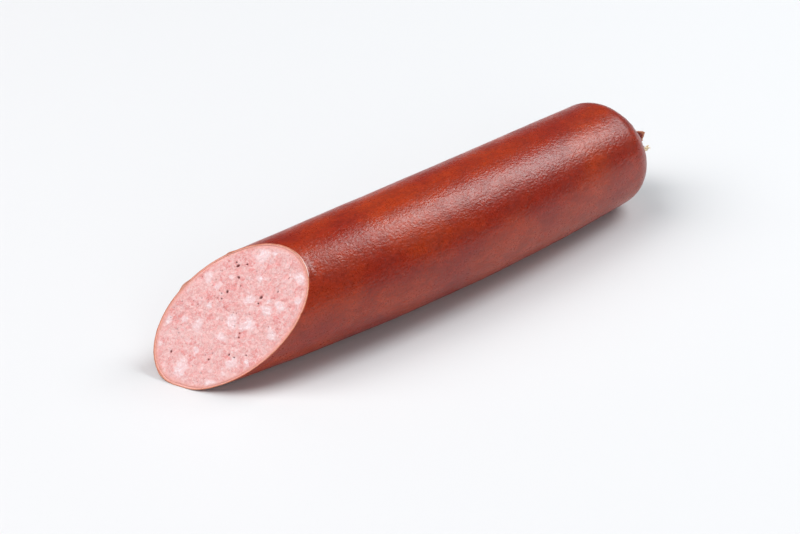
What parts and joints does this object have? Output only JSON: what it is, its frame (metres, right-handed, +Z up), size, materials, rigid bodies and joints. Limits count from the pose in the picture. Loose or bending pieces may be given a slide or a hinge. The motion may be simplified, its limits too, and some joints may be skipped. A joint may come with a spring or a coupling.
{
  "type": "cured sausage",
  "caption": "Smoked cured sausage in its casing, lying down, cut on the slant at one end and gathered and tied with twine at the other.",
  "frame": {"origin": "middle of the footprint box, on the surface that the sausage lies on", "axes": "+X along the sausage from the cut end to the tied end, +Y to the hollow side of its gentle bend, +Z up"},
  "size_m": [0.2292, 0.05, 0.0445],
  "materials": {
    "filling": "moist pink cut meat with pale fat and small dark pores",
    "casing": "semi-gloss reddish-brown smoked casing, finely speckled",
    "tie_twine": "off-white twisted cotton twine, matt, frayed at its cut ends"
  },
  "bodies": {
    "root": {"filling": "filling", "casing": "casing", "tie_twine": "tie_twine"}
  },
  "joints": []
}
